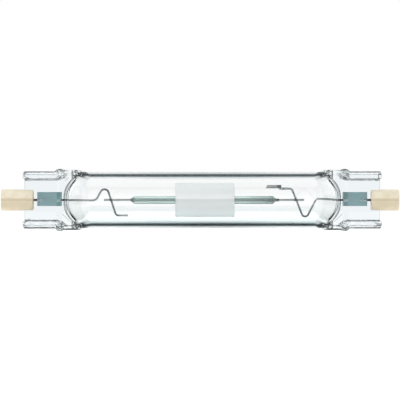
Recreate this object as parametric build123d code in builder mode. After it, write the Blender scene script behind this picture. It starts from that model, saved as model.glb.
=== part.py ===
from math import atan2, tan
from build123d import *
import os

# Double-ended metal halide lamp: a clear quartz bulb pinched flat at both ends, with a ceramic
# cap on each pinch and a ceramic arc tube hung between two bent lead wires.
# Millimetres. +X runs along the lamp, +Z up across the flats of the pinches, and the origin is
# on the lamp's axis, halfway between the outer ends of the two caps.

# Outer bulb
bulb_diameter = 19.4
bulb_wall = 1.0
bulb_straight = 77.6
shoulder_length = 8.9

# Shoulder, where the round tube is pressed flat between two jaws. Seen from above, each side of
# it runs straight from one corner to the next, and both corners are rounded.
press_corner = 2.8
press_run = 5.3
press_bend = 5.2
press_toe_bend = 3.5
press_margin = 0.05
cavity_edge_thickness = 0.6
cavity_toe_bend = 1.0
cavity_end_gap = 0.7
cavity_end_drop = 2.8
lead_bore_overlap = 1.0

# Flat pinch at each end of the bulb: a web between two side rails
web_length = 13.75
web_thickness = 2.8
web_root_thickness = 3.2
web_root_length = 2.2
rail_width = 6.0
rail_edge_chamfer = 0.5
rail_stand_out = 0.25
rail_height = 2.85
rail_root_margin = 0.05
rail_overhang = 0.75
rail_rise_start = 0.7
rail_rise_length = 3.8
shoulder_rail_step = 0.5
jaw_bump_step = 0.85
jaw_bump_start = 0.2
jaw_bump_length = 2.8
rail_bend_length = 2.6

# Caps: ceramic, slotted to straddle the web
cap_diameter = 7.3
cap_length = {"left": 11.15, "right": 9.6}
cap_inner_chamfer = {"left": 0.6, "right": 0.2}
cap_outer_chamfer = 0.45
cap_overlap = 3.15
cap_slot_clearance = 0.1
cap_slot_end_gap = 0.3
cement_bore = 3.0
cement_clearance = 0.02

# Recessed contact in the outer end of each cap
recess_diameter = 4.6
recess_depth = 2.7
contact_diameter = 4.0
contact_thickness = 0.5
contact_clearance = 0.03
cap_floor = 1.5

# Outer leads and the foils they are welded to, sealed in the web
outer_lead_diameter = 0.8
lead_hole_clearance = 0.1
seal_gap = 0.03
foil_length = 8.5
foil_height = 4.8
foil_thickness = 0.05
foil_from_web_end = 4.45
outer_weld_length = 2.3
inner_weld_length = 2.0
weld_flat_depth = 0.1

# Arc tube
arc_tube_middle = 1.7
barrel_length = 20.4
barrel_diameter = 11.7
barrel_wall = 0.9
barrel_edge_chamfer = 0.4
plug_thickness = 3.0
capillary_diameter = 2.8
capillary_bore = 1.0
capillary_reach = {"left": 14.3, "right": 13.5}
sinter_gap = 0.02

# Feedthrough in each leg of the arc tube, from the outside in
niobium_diameter = 0.8
niobium_free_length = {"left": 10.4, "right": 10.6}
niobium_seat = 3.0
frit_depth = 2.6
frit_cone_diameter = 2.3
frit_cone_length = {"left": 1.05, "right": 0.85}
frit_neck_length = {"left": 0.2, "right": 1.1}
frit_neck_diameter = 0.96
frit_gap = 0.01
molybdenum_diameter = 0.9
weld_gap = 0.02
electrode_diameter = 0.5
electrode_seat = 2.0
electrode_reach = 2.6
electrode_coil_wire = 0.24
electrode_coil_length = 1.3
electrode_coil_setback = 0.35

# Inner leads: bent wires from the foils, crossing in front of the niobium leads
# The wire is round; its section is drawn with this many flats, which keeps its bends light.
inner_lead_diameter = 0.68
inner_lead_side_count = 12
crossing_gap = 0.02
lead_straight = {"left": 9.7, "right": 7.0}
lead_rise = {"left": -0.2, "right": 0.5}
kink_bend = 6.0
loop_offset = {"left": 3.37, "right": 4.13}
loop_height = {"left": 6.1, "right": -7.82}
crossing_run = {"left": 3.64, "right": 4.42}
crossing_drop = {"left": -11.2, "right": 11.22}
lead_tail = {"left": 4.15, "right": 1.35}
root_bend = {"left": 1.5, "right": 1.5}
loop_bend = {"left": 1.5, "right": 1.2}
tail_bend = {"left": 1.2, "right": 1.3}

# Flattened end of the right inner lead, with the getter strip welded to it
tab_length = 3.1
tab_height = 0.8
tab_thickness = 0.3
getter_length = 5.4
getter_height = 1.1
getter_thickness = 0.15
getter_slant = 0.5
getter_overlap = 0.8
getter_lap = 0.25

# Dose of metal halide salt and mercury, frozen in the bottom of the arc tube
dose_length = 4.2
dose_depth = 0.4
dose_from_middle = 1.8

# Sizes worked out from the ones above
bulb_radius = bulb_diameter / 2
tube_half = bulb_straight / 2
bore_radius = bulb_radius - bulb_wall
shoulder_end = tube_half + shoulder_length
cavity_end = shoulder_end - cavity_end_gap
web_root_end = shoulder_end + web_root_length
web_end = shoulder_end + web_length
rail_end = web_end + rail_overhang
rail_start = tube_half + rail_rise_start
rail_half_height = bulb_radius + rail_stand_out
rail_inner_height = rail_half_height - rail_height
rail_root_inner_height = bore_radius + rail_root_margin
shoulder_rail_height = rail_half_height + shoulder_rail_step
jaw_bump_height = rail_half_height + jaw_bump_step
jaw_bump_near = shoulder_end + jaw_bump_start
jaw_bump_far = jaw_bump_near + jaw_bump_length
cap_inner_end = web_end - cap_overlap
bulb_centre = (cap_length["left"] - cap_length["right"]) / 2
foil_outer_end = web_end - foil_from_web_end
foil_inner_end = foil_outer_end - foil_length
outer_lead_tip = foil_outer_end - outer_weld_length
outer_lead_radius = outer_lead_diameter / 2
inner_lead_radius = inner_lead_diameter / 2
foil_front = outer_lead_radius - weld_flat_depth
barrel_bore = barrel_diameter / 2 - barrel_wall
crossing_depth = niobium_diameter / 2 + inner_lead_radius + crossing_gap

sides = {"left": -1, "right": 1}
parts = []


def finish(piece, label):
    """Names a finished piece and keeps it for export."""
    piece.label = label
    parts.append(piece)


def across(side, distance, middle=bulb_centre):
    """Plane across the lamp's axis, facing out of the named end, at a distance from the middle."""
    facing = sides[side]
    return Plane(origin=(middle + facing * distance, 0, 0), x_dir=(0, 1, 0), z_dir=(facing, 0, 0))


def lengthways(side, distance, middle=bulb_centre):
    """Plane through the lamp's axis for turned profiles, x pointing out of the named end."""
    facing = sides[side]
    return Plane(origin=(middle + facing * distance, 0, 0), x_dir=(facing, 0, 0), z_dir=(0, -1, 0))


# Outer envelope. One half is made about the bulb's own middle and mirrored.
def press_outline(radius, corner, toe, toe_half, end, bends):
    """Outline of the pressed tube or of its hollow from above, from the bulb's middle outwards."""
    side = [(0, radius), (corner, radius), (toe, toe_half), (end, toe_half)]
    with BuildSketch(Plane.XY) as outline:
        with BuildLine():
            edge = FilletPolyline(side, radius=bends)
            mirror(edge, about=Plane.XZ)
            Line((0, radius), (0, -radius))
            Line((end, toe_half), (end, -toe_half))
        make_face()
    return outline.sketch


outer_corner = tube_half + press_corner
outer_outline = press_outline(
    bulb_radius + press_margin,
    outer_corner,
    outer_corner + press_run,
    web_root_thickness / 2,
    web_root_end,
    (press_bend, press_toe_bend),
)

# The hollow's sides run parallel to the outside, one wall thickness in.
press_slope = atan2(bulb_radius - web_root_thickness / 2, press_run)
inner_corner = outer_corner - bulb_wall * tan(press_slope / 2)
inner_run = (bore_radius - cavity_edge_thickness / 2) / tan(press_slope)
inner_outline = press_outline(
    bore_radius + press_margin,
    inner_corner,
    inner_corner + inner_run,
    cavity_edge_thickness / 2,
    shoulder_end,
    (press_bend - bulb_wall, cavity_toe_bend),
)

with BuildPart() as cavity:
    with BuildSketch(Plane.YZ):
        Circle(bore_radius)
    extrude(amount=shoulder_end)
    extrude(inner_outline, amount=bulb_radius, both=True, mode=Mode.INTERSECT)
    # The end of the hollow bows outwards when seen from the side.
    with BuildSketch(Plane.XZ):
        with BuildLine():
            bow_start = (cavity_end - cavity_end_drop, bore_radius)
            bow_end = (cavity_end - cavity_end_drop, -bore_radius)
            ThreePointArc(bow_start, (cavity_end, 0), bow_end)
            Polyline(bow_end, (0, -bore_radius), (0, bore_radius), bow_start)
        make_face()
    extrude(amount=bulb_radius, both=True, mode=Mode.INTERSECT)

with BuildPart() as pressed_tube:
    with BuildSketch(Plane.YZ):
        Circle(bulb_radius)
    extrude(amount=web_root_end)
    extrude(outer_outline, amount=bulb_radius, both=True, mode=Mode.INTERSECT)
    add(cavity.part, mode=Mode.SUBTRACT)

with BuildPart() as envelope:
    # Side rails with the bump left by the pinching jaws
    with BuildSketch(Plane.XZ):
        with BuildLine():
            rise_end = (rail_start + rail_rise_length, shoulder_rail_height)
            TangentArc(rise_end, (rail_start, bulb_radius), tangent=(-1, 0))
            Line(rise_end, (jaw_bump_near, shoulder_rail_height))
            ThreePointArc(
                (jaw_bump_near, shoulder_rail_height),
                ((jaw_bump_near + jaw_bump_far) / 2, jaw_bump_height),
                (jaw_bump_far, rail_half_height),
            )
            Polyline(
                (jaw_bump_far, rail_half_height),
                (web_end, rail_half_height),
                (rail_end, (rail_half_height + rail_inner_height) / 2),
                (web_end, rail_inner_height),
                (jaw_bump_far, rail_inner_height),
                (jaw_bump_far - rail_bend_length, rail_root_inner_height),
                (rail_start, rail_root_inner_height),
                (rail_start, bulb_radius),
            )
        make_face()
    extrude(amount=rail_width / 2, both=True)
    faces_across = envelope.faces().filter_by(Axis.Y).sort_by(Axis.Y)
    chamfer(faces_across[0].edges() + faces_across[-1].edges(), rail_edge_chamfer)
    mirror(about=Plane.XY)

    # Flat web between the rails
    with BuildSketch(Plane.YZ.offset(shoulder_end)):
        Rectangle(web_thickness, rail_inner_height + rail_half_height)
    extrude(amount=web_length)
    add(pressed_tube.part)

    # Glass pressed round the foil and the two wires welded to it
    with BuildSketch(Plane.YZ.offset(foil_inner_end)):
        with Locations((foil_front + foil_thickness / 2, 0)):
            Rectangle(foil_thickness, foil_height)
    extrude(amount=foil_length, mode=Mode.SUBTRACT)
    with BuildSketch(Plane.YZ.offset(foil_outer_end)):
        Circle(outer_lead_radius + seal_gap)
    extrude(amount=foil_from_web_end, mode=Mode.SUBTRACT)
    with BuildSketch(Plane.YZ.offset(outer_lead_tip - seal_gap)):
        Circle(outer_lead_radius + seal_gap)
        with Locations((foil_front + outer_lead_diameter, 0)):
            Rectangle(2 * outer_lead_diameter, 2 * outer_lead_diameter, mode=Mode.SUBTRACT)
    extrude(amount=foil_outer_end - outer_lead_tip + seal_gap, mode=Mode.SUBTRACT)
    with BuildSketch(Plane.YZ.offset(foil_inner_end)):
        Circle(inner_lead_radius + seal_gap)
        with Locations((foil_front + inner_lead_diameter, 0)):
            Rectangle(2 * inner_lead_diameter, 2 * inner_lead_diameter, mode=Mode.SUBTRACT)
    extrude(amount=inner_weld_length + seal_gap, mode=Mode.SUBTRACT)
    with BuildSketch(Plane.YZ.offset(foil_inner_end)):
        Circle(inner_lead_radius + seal_gap)
    extrude(amount=cavity_end - lead_bore_overlap - foil_inner_end, mode=Mode.SUBTRACT)

    mirror(about=Plane.YZ)

finish(envelope.part.moved(Location((bulb_centre, 0, 0))), "outer_envelope")


def base_cap(side):
    """Ceramic cap: recess and contact seat outside, cement bore and web slot inside."""
    length = cap_length[side]
    with BuildPart() as cap:
        with BuildSketch(across(side, cap_inner_end)):
            Circle(cap_diameter / 2)
        extrude(amount=length)
        rims = cap.edges().filter_by(GeomType.CIRCLE).sort_by(Axis.X)
        outer_rim = rims[-1] if sides[side] > 0 else rims[0]
        inner_rim = rims[0] if sides[side] > 0 else rims[-1]
        chamfer(outer_rim, cap_outer_chamfer)
        chamfer(inner_rim, cap_inner_chamfer[side])
        with BuildSketch(across(side, cap_inner_end + length)):
            Circle(recess_diameter / 2)
        extrude(amount=-recess_depth, mode=Mode.SUBTRACT)
        with BuildSketch(across(side, cap_inner_end + length - recess_depth)):
            Circle(contact_diameter / 2 + contact_clearance)
        extrude(amount=-contact_thickness, mode=Mode.SUBTRACT)
        with BuildSketch(across(side, cap_inner_end)):
            Rectangle(web_thickness + 2 * cap_slot_clearance, 2 * cap_diameter)
        extrude(amount=cap_overlap + cap_slot_end_gap, mode=Mode.SUBTRACT)
        with BuildSketch(across(side, cap_inner_end)):
            Circle(cement_bore / 2)
        extrude(amount=length - recess_depth - contact_thickness - cap_floor, mode=Mode.SUBTRACT)
        with BuildSketch(across(side, cap_inner_end)):
            Circle(outer_lead_radius + lead_hole_clearance)
        extrude(amount=length, mode=Mode.SUBTRACT)
    finish(cap.part, f"base_cap_{side}")


def base_contact(side):
    """Metal disc let into the floor of the recess, with the lead welded to its back."""
    contact_face = cap_inner_end + cap_length[side] - recess_depth
    with BuildPart() as contact:
        with BuildSketch(across(side, contact_face)):
            Circle(contact_diameter / 2)
        extrude(amount=-(contact_thickness - contact_clearance))
    finish(contact.part, f"base_contact_{side}")


def base_cement(side):
    """Cement between the floor of the cap and the end of the web, round the lead."""
    floor = cap_inner_end + cap_length[side] - recess_depth - contact_thickness - cap_floor
    with BuildPart() as cement:
        with BuildSketch(across(side, web_end + cement_clearance)):
            Circle(cement_bore / 2 - cement_clearance)
            Circle(outer_lead_radius + cement_clearance, mode=Mode.SUBTRACT)
        extrude(amount=floor - web_end - 2 * cement_clearance)
    finish(cement.part, f"base_cement_{side}")


def seal_foil(side):
    """Molybdenum foil that carries the current through the pinched glass."""
    with BuildPart() as foil:
        with BuildSketch(across(side, foil_inner_end)):
            with Locations((foil_front + foil_thickness / 2, 0)):
                Rectangle(foil_thickness, foil_height)
        extrude(amount=foil_length)
    finish(foil.part, f"seal_foil_{side}")


def outer_lead(side):
    """Straight wire from the contact to the foil, pressed flat where it is welded on."""
    contact_back = cap_inner_end + cap_length[side] - recess_depth - contact_thickness
    with BuildPart() as lead:
        with BuildSketch(across(side, foil_outer_end)):
            Circle(outer_lead_radius)
        extrude(amount=contact_back - foil_outer_end)
        with BuildSketch(across(side, foil_outer_end)):
            Circle(outer_lead_radius)
            with Locations((foil_front + outer_lead_diameter, 0)):
                Rectangle(2 * outer_lead_diameter, 2 * outer_lead_diameter, mode=Mode.SUBTRACT)
        extrude(amount=-outer_weld_length)
    finish(lead.part, f"outer_lead_{side}")


def inner_lead_route(side):
    """Corners of the bent wire: out of the pinch, a loop, the crossing, and the tail."""
    facing = sides[side]
    root = Vector(bulb_centre + facing * foil_inner_end, 0, 0)
    kink = Vector(bulb_centre + facing * (foil_inner_end - inner_weld_length), 0, 0)
    foot = kink - Vector(facing * lead_straight[side], 0, -lead_rise[side])
    loop = foot - Vector(facing * loop_offset[side], crossing_depth, -loop_height[side])
    turn = loop - Vector(facing * crossing_run[side], 0, -crossing_drop[side])
    tail = turn - Vector(facing * lead_tail[side], 0, 0)
    return root, kink, foot, loop, turn, tail


def inner_lead(side):
    """Bent wire from the foil to its weld on the niobium lead."""
    root, kink, foot, loop, turn, tail = inner_lead_route(side)
    with BuildPart() as lead:
        with BuildSketch(across(side, foil_inner_end)):
            RegularPolygon(inner_lead_radius, inner_lead_side_count)
            with Locations((foil_front + inner_lead_diameter, 0)):
                Rectangle(2 * inner_lead_diameter, 2 * inner_lead_diameter, mode=Mode.SUBTRACT)
        extrude(amount=inner_weld_length)
        with BuildLine() as route:
            bends = (kink_bend, root_bend[side], loop_bend[side], tail_bend[side])
            FilletPolyline(root, kink, foot, loop, turn, tail, radius=bends)
        with BuildSketch(across(side, foil_inner_end)):
            RegularPolygon(inner_lead_radius, inner_lead_side_count)
        sweep(path=route.line)
        if side == "right":
            with Locations(tail - Vector(tab_length / 2, 0, 0)):
                Box(tab_length, tab_thickness, tab_height)
    finish(lead.part, f"inner_lead_{side}")


def getter_strip():
    """Thin strip welded flat on the face of the right lead's tab, its free end cut aslant."""
    tail = inner_lead_route("right")[-1]
    tab_end = tail.X - tab_length
    bottom = tail.Z + tab_height / 2 - getter_lap
    face = tail.Y - tab_thickness / 2 - weld_gap
    with BuildPart() as strip:
        with BuildSketch(Plane.XZ.offset(-face)):
            with BuildLine():
                Polyline(
                    (tab_end + getter_overlap, bottom),
                    (tab_end + getter_overlap, bottom + getter_height),
                    (tab_end + getter_overlap - getter_length + getter_slant, bottom + getter_height),
                    (tab_end + getter_overlap - getter_length, bottom),
                    close=True,
                )
            make_face()
        extrude(amount=getter_thickness)
    finish(strip.part, "getter_strip")


def arc_tube_barrel():
    """Ceramic body of the arc tube."""
    with BuildPart() as barrel:
        with BuildSketch(Plane.YZ.offset(arc_tube_middle)):
            Circle(barrel_diameter / 2)
        extrude(amount=barrel_length / 2, both=True)
        chamfer(barrel.edges().filter_by(GeomType.CIRCLE), barrel_edge_chamfer)
        with BuildSketch(Plane.YZ.offset(arc_tube_middle)):
            Circle(barrel_bore)
        extrude(amount=barrel_length / 2, both=True, mode=Mode.SUBTRACT)
    finish(barrel.part, "arc_tube_barrel")


def arc_tube_plug(side):
    """Ceramic disc sintered flush into the end of the barrel."""
    with BuildPart() as plug:
        with BuildSketch(across(side, barrel_length / 2, arc_tube_middle)):
            Circle(barrel_bore - sinter_gap)
            Circle(capillary_diameter / 2 + sinter_gap, mode=Mode.SUBTRACT)
        extrude(amount=-plug_thickness)
    finish(plug.part, f"arc_tube_plug_{side}")


def capillary(side):
    """Ceramic leg, from the inner face of the plug to the frit seal."""
    with BuildPart() as leg:
        with BuildSketch(across(side, barrel_length / 2 - plug_thickness, arc_tube_middle)):
            Circle(capillary_diameter / 2)
            Circle(capillary_bore / 2, mode=Mode.SUBTRACT)
        extrude(amount=plug_thickness + capillary_reach[side])
    finish(leg.part, f"capillary_{side}")


def frit_seal(side):
    """Glass frit drawn into the leg's bore, with a cone and a neck outside."""
    leg_end = barrel_length / 2 + capillary_reach[side]
    inside = niobium_diameter / 2 + frit_gap
    neck_start = frit_cone_length[side]
    neck_end = neck_start + frit_neck_length[side]
    with BuildPart() as frit:
        with BuildSketch(lengthways(side, leg_end, arc_tube_middle)):
            with BuildLine():
                Polyline(
                    (-frit_depth, inside),
                    (-frit_depth, capillary_bore / 2 - frit_gap),
                    (frit_gap, capillary_bore / 2 - frit_gap),
                    (frit_gap, frit_cone_diameter / 2),
                    (neck_start, frit_neck_diameter / 2),
                    (neck_end, frit_neck_diameter / 2),
                    (neck_end, inside),
                    close=True,
                )
            make_face()
        revolve(axis=Axis.X)
    finish(frit.part, f"frit_seal_{side}")


def feedthrough(side):
    """Niobium lead, molybdenum coil and tungsten rod in a row down the leg."""
    leg_end = barrel_length / 2 + capillary_reach[side]
    plug_face = barrel_length / 2 - plug_thickness
    niobium_inner = leg_end - niobium_seat
    electrode_outer = plug_face + electrode_seat
    with BuildPart() as niobium:
        with BuildSketch(across(side, niobium_inner, arc_tube_middle)):
            Circle(niobium_diameter / 2)
        extrude(amount=niobium_seat + niobium_free_length[side])
    finish(niobium.part, f"niobium_lead_{side}")
    with BuildPart() as molybdenum:
        with BuildSketch(across(side, electrode_outer + weld_gap, arc_tube_middle)):
            Circle(molybdenum_diameter / 2)
        extrude(amount=niobium_inner - electrode_outer - 2 * weld_gap)
    finish(molybdenum.part, f"molybdenum_coil_{side}")
    with BuildPart() as rod:
        with BuildSketch(across(side, electrode_outer, arc_tube_middle)):
            Circle(electrode_diameter / 2)
        extrude(amount=-(electrode_seat + electrode_reach))
    finish(rod.part, f"electrode_rod_{side}")


def electrode_coil(side):
    """Close-wound tungsten wire round the rod, just behind its tip, drawn as a sleeve."""
    tip = barrel_length / 2 - plug_thickness - electrode_reach
    inside = electrode_diameter / 2 + sinter_gap
    with BuildPart() as coil:
        with BuildSketch(across(side, tip + electrode_coil_setback, arc_tube_middle)):
            Circle(inside + electrode_coil_wire)
            Circle(inside, mode=Mode.SUBTRACT)
        extrude(amount=electrode_coil_length)
    finish(coil.part, f"electrode_coil_{side}")


def dose_pool():
    """Salt and mercury frozen in the bottom of the barrel."""
    with BuildPart() as pool:
        with BuildSketch(Plane.YZ.offset(arc_tube_middle + dose_from_middle)):
            Circle(barrel_bore - sinter_gap)
            with Locations((0, dose_depth)):
                Rectangle(2 * barrel_bore, 2 * barrel_bore, mode=Mode.SUBTRACT)
        extrude(amount=dose_length / 2, both=True)
    finish(pool.part, "dose_pool")


for end in sides:
    base_cap(end)
    base_contact(end)
    base_cement(end)
    seal_foil(end)
    outer_lead(end)
    inner_lead(end)
    arc_tube_plug(end)
    capillary(end)
    frit_seal(end)
    feedthrough(end)
    electrode_coil(end)
arc_tube_barrel()
getter_strip()
dose_pool()

os.makedirs("parts", exist_ok=True)
for piece in parts:
    export_step(piece, f"parts/{piece.label}.step")
print("pieces", len(parts), "length", 2 * web_end - 2 * cap_overlap + sum(cap_length.values()))
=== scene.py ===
import bmesh
import bpy
from math import cos, pi, sin
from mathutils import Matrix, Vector


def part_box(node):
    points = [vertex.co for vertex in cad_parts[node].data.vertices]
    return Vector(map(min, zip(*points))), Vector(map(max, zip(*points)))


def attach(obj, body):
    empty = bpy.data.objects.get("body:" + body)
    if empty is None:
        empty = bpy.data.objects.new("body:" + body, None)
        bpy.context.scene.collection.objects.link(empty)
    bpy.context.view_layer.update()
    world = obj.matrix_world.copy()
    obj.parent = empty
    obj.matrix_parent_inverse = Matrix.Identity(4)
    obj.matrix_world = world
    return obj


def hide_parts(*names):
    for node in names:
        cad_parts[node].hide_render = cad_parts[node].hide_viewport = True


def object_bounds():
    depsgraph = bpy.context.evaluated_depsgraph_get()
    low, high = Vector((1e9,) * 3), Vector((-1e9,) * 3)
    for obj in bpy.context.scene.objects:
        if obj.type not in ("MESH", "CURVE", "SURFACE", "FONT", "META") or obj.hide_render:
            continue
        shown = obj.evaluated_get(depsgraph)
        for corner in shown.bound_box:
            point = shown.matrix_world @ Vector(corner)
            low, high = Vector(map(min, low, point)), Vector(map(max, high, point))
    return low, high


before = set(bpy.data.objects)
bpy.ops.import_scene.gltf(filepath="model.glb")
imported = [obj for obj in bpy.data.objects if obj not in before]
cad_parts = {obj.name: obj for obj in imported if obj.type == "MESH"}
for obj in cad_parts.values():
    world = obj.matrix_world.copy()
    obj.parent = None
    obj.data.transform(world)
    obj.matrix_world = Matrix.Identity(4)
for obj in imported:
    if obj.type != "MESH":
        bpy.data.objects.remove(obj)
cad_low, cad_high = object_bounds()

# Sizes in millimetres, as in the part's source. The meshes are made in metres.
MM = 0.001
ENDS = {"left": -1, "right": 1}
BULB_CENTRE = 0.775
BULB_RADIUS = 9.7
BORE_RADIUS = 8.35
WEB_END = 61.45
END_ROUND = 0.35
RAIL_OVERHANG = 0.75
CAP_FACE = 58.3
CAP_RADIUS = 3.65
CAP_LENGTHS = {"left": 11.15, "right": 9.6}
WIRE_DIAMETER = 0.68
WIRE_CROSSINGS = {"left": -30.8, "right": 33.2}

# Distances from the middle of the bulb: where the tube stops being round, and where its hollow ends.
ROUND_END = 36.0
HOLLOW_END = 47.3

# The pressed end is drawn back towards its edges: at which height in full, how sharply and how far.
BOW_HEIGHT = 7.2
BOW_POWER = 2.6
BOW_DEPTH = 2.8
BOW_RUN = (32.0, 42.0)

# Where the corner between the bulb's side and the web grows soft.
SOFT_RUN = (38.0, 42.0)

# How close two points lie, in metres, to be one: on a seam, and on the thin edge of a foil.
SEAM = 0.000002
THIN_SEAM = 0.0000005

# Places of the colour sockets on a Mix node.
MIX_FIRST = 6
MIX_SECOND = 7
MIX_RESULT = 2


class Amount:
    """A value that a tree works out for each point, written with plain arithmetic."""

    def __init__(self, tree, socket):
        self.tree = tree
        self.socket = socket

    def work(self, operation, *others):
        node = self.tree.nodes.new("ShaderNodeMath")
        node.operation = operation
        for place, value in enumerate((self, *others)):
            feed(self.tree, value, node.inputs[place])
        return Amount(self.tree, node.outputs[0])

    def __add__(self, other):
        return self.work("ADD", other)

    def __sub__(self, other):
        return self.work("SUBTRACT", other)

    def __mul__(self, other):
        return self.work("MULTIPLY", other)

    def __truediv__(self, other):
        return self.work("DIVIDE", other)

    def at_least(self, least):
        return self.work("MAXIMUM", least)

    def at_most(self, most):
        return self.work("MINIMUM", most)

    def size(self):
        return self.work("ABSOLUTE")

    def remaining(self):
        """What is left of 1."""
        return self * -1.0 + 1.0

    def spread(self, start, end, low=0.0, high=1.0, kind="LINEAR"):
        """low before start, high after end, and even or eased between them."""
        node = self.tree.nodes.new("ShaderNodeMapRange")
        node.interpolation_type = kind
        feed(self.tree, self, node.inputs["Value"])
        feed(self.tree, start, node.inputs["From Min"])
        feed(self.tree, end, node.inputs["From Max"])
        feed(self.tree, low, node.inputs["To Min"])
        feed(self.tree, high, node.inputs["To Max"])
        return Amount(self.tree, node.outputs["Result"])

    def eased(self, start, end, low=0.0, high=1.0):
        return self.spread(start, end, low, high, "SMOOTHSTEP")

    def falls(self, start, end):
        """1 before start, and eased to 0 at the end."""
        return self.eased(start, end, 1.0, 0.0)

    def between(self, start, full, ebb, end):
        """1 from full to ebb, and eased to 0 at start and end."""
        return self.eased(start, full) * self.falls(ebb, end)

    def stripe(self, middle, half, soft):
        """1 within half of the middle, and eased to 0 over soft."""
        return (self - middle).size().falls(half, half + soft)

    def for_ends(self, left, right):
        """left at the lamp's left end and right at its right end, told from the place along it."""
        return self.eased(-0.001, 0.001, left, right)


def feed(tree, value, socket):
    """Links a worked value to a socket, or writes a plain one there."""
    if isinstance(value, Amount):
        tree.links.new(value.socket, socket)
    else:
        socket.default_value = value


def out(node, title):
    return Amount(node.id_data, node.outputs[title])


def add_node(tree, kind, **inputs):
    """A node with its inputs fed by name, where _ in a name stands for a space."""
    node = tree.nodes.new(kind)
    for title, value in inputs.items():
        feed(tree, value, node.inputs[title.replace("_", " ")])
    return node


def made(tree, kind, **inputs):
    """What a new node makes, which is its first output."""
    return Amount(tree, add_node(tree, kind, **inputs).outputs[0])


def given_to(tree):
    """The named inputs of a tree, as amounts."""
    entry = tree.nodes.new("NodeGroupInput")
    return {socket.name: Amount(tree, socket) for socket in entry.outputs if socket.name}


def start_tree(name, sizes, counts=(), finishes=("Finish",)):
    """A shape tree with a named input for each size, count and finish, and these as amounts."""
    tree = bpy.data.node_groups.new(name, "GeometryNodeTree")
    tree.is_modifier = True
    kinds = {"Geometry": ("Plan",), "Float": sizes, "Int": counts, "Material": finishes}
    for kind, titles in kinds.items():
        for title in titles:
            tree.interface.new_socket(title, in_out="INPUT", socket_type="NodeSocket" + kind)
    tree.interface.new_socket("Shape", in_out="OUTPUT", socket_type="NodeSocketGeometry")
    return tree, given_to(tree)


def end_tree(tree, shape, *dresses):
    """Smooth shading, real geometry and the finishes close every shape tree."""
    smooth = made(tree, "GeometryNodeSetShadeSmooth", Geometry=shape)
    last = made(tree, "GeometryNodeRealizeInstances", Geometry=smooth)
    for finish, faces in dresses:
        last = made(tree, "GeometryNodeSetMaterial", Geometry=last, Selection=faces, Material=finish)
    feed(tree, last, tree.nodes.new("NodeGroupOutput").inputs["Shape"])


def as_mesh(name, tree, settings, plan=None):
    """The tree's result on a plan mesh, or on none, as a plain mesh."""
    holder = bpy.data.objects.new(name + "_plan", plan or bpy.data.meshes.new("empty_plan"))
    bpy.context.scene.collection.objects.link(holder)
    modifier = holder.modifiers.new("shape", "NODES")
    modifier.node_group = tree
    for item in tree.interface.items_tree:
        if item.in_out == "INPUT" and item.name in settings:
            modifier[item.identifier] = settings[item.name]
    depsgraph = bpy.context.evaluated_depsgraph_get()
    mesh = bpy.data.meshes.new_from_object(holder.evaluated_get(depsgraph), depsgraph=depsgraph)
    mesh.name = name
    holder.modifiers.remove(modifier)
    bpy.data.objects.remove(holder)
    return mesh


def finished_mesh(work, name, *finishes):
    """A plain mesh out of a working one, with its finishes."""
    mesh = bpy.data.meshes.new(name)
    work.to_mesh(mesh)
    work.free()
    for finish in finishes:
        mesh.materials.append(finish)
    return mesh


def smooth_faces(work):
    for face in work.faces:
        face.smooth = True


def place(name, mesh, slot, *nodes):
    """A finished piece on the one body, in the place of the solids that it stands for."""
    piece = bpy.data.objects.new(name, mesh)
    bpy.context.scene.collection.objects.link(piece)
    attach(piece, "root")
    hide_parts(*nodes)


# Finishes.

COLOUR = "NodeSocketColor"
NUMBER = "NodeSocketFloat"


def rgb(red, green, blue):
    return (red, green, blue, 1.0)


def start_group(name, inputs, outputs):
    group = bpy.data.node_groups.new(name, "ShaderNodeTree")
    for title, kind in inputs.items():
        group.interface.new_socket(title, in_out="INPUT", socket_type=kind)
    for title, kind in outputs.items():
        group.interface.new_socket(title, in_out="OUTPUT", socket_type=kind)
    return group, group.nodes.new("NodeGroupOutput")


def mixed(tree, share, first, second):
    """Two colours mixed by a share from 0 to 1."""
    node = tree.nodes.new("ShaderNodeMix")
    node.data_type = "RGBA"
    feed(tree, share, node.inputs[0])
    feed(tree, first, node.inputs[MIX_FIRST])
    feed(tree, second, node.inputs[MIX_SECOND])
    return Amount(tree, node.outputs[MIX_RESULT])


def noise(tree, place_on, scale, detail=3.0, rough=0.5):
    return made(tree, "ShaderNodeTexNoise", Vector=place_on, Scale=scale, Detail=detail, Roughness=rough)


def ramp(tree, share, *stops):
    """A colour ramp with its stops as (place, colour)."""
    node = tree.nodes.new("ShaderNodeValToRGB")
    feed(tree, share, node.inputs["Fac"])
    band = node.color_ramp
    while len(band.elements) < len(stops):
        band.elements.new(0.5)
    for element, (where, colour) in zip(band.elements, stops):
        element.position = where
        element.color = colour
    return out(node, "Color")


class Spot:
    """The place on the lamp that a finish looks at, in metres."""

    def __init__(self, tree):
        self.whole = out(tree.nodes.new("ShaderNodeTexCoord"), "Object")
        split = add_node(tree, "ShaderNodeSeparateXYZ", Vector=self.whole)
        self.x = out(split, "X")
        self.y = out(split, "Y")
        self.z = out(split, "Z")

    def reach(self):
        """How far along the lamp it is from the middle of the bulb."""
        return (self.x - BULB_CENTRE * MM).size()


def grain_group():
    """Mottled body colour with fine pits, for fired and cast surfaces."""
    inputs = {"Pale": COLOUR, "Deep": COLOUR, "Patch size": NUMBER, "Pit size": NUMBER, "Pits": NUMBER}
    group, leave = start_group("fired_grain", inputs, {"Colour": COLOUR, "Height": NUMBER})
    given = given_to(group)
    where = Spot(group).whole
    patches = noise(group, where, given["Patch size"], 5.0, 0.6)
    pits = noise(group, where, given["Pit size"], 2.0, 0.7)
    dots = pits.eased(0.62, 0.7) * given["Pits"]
    tone = (patches.eased(0.38, 0.66) + dots).at_most(1.0)
    feed(group, mixed(group, tone, given["Pale"], given["Deep"]), leave.inputs["Colour"])
    feed(group, pits - dots, leave.inputs["Height"])
    return group


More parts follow.
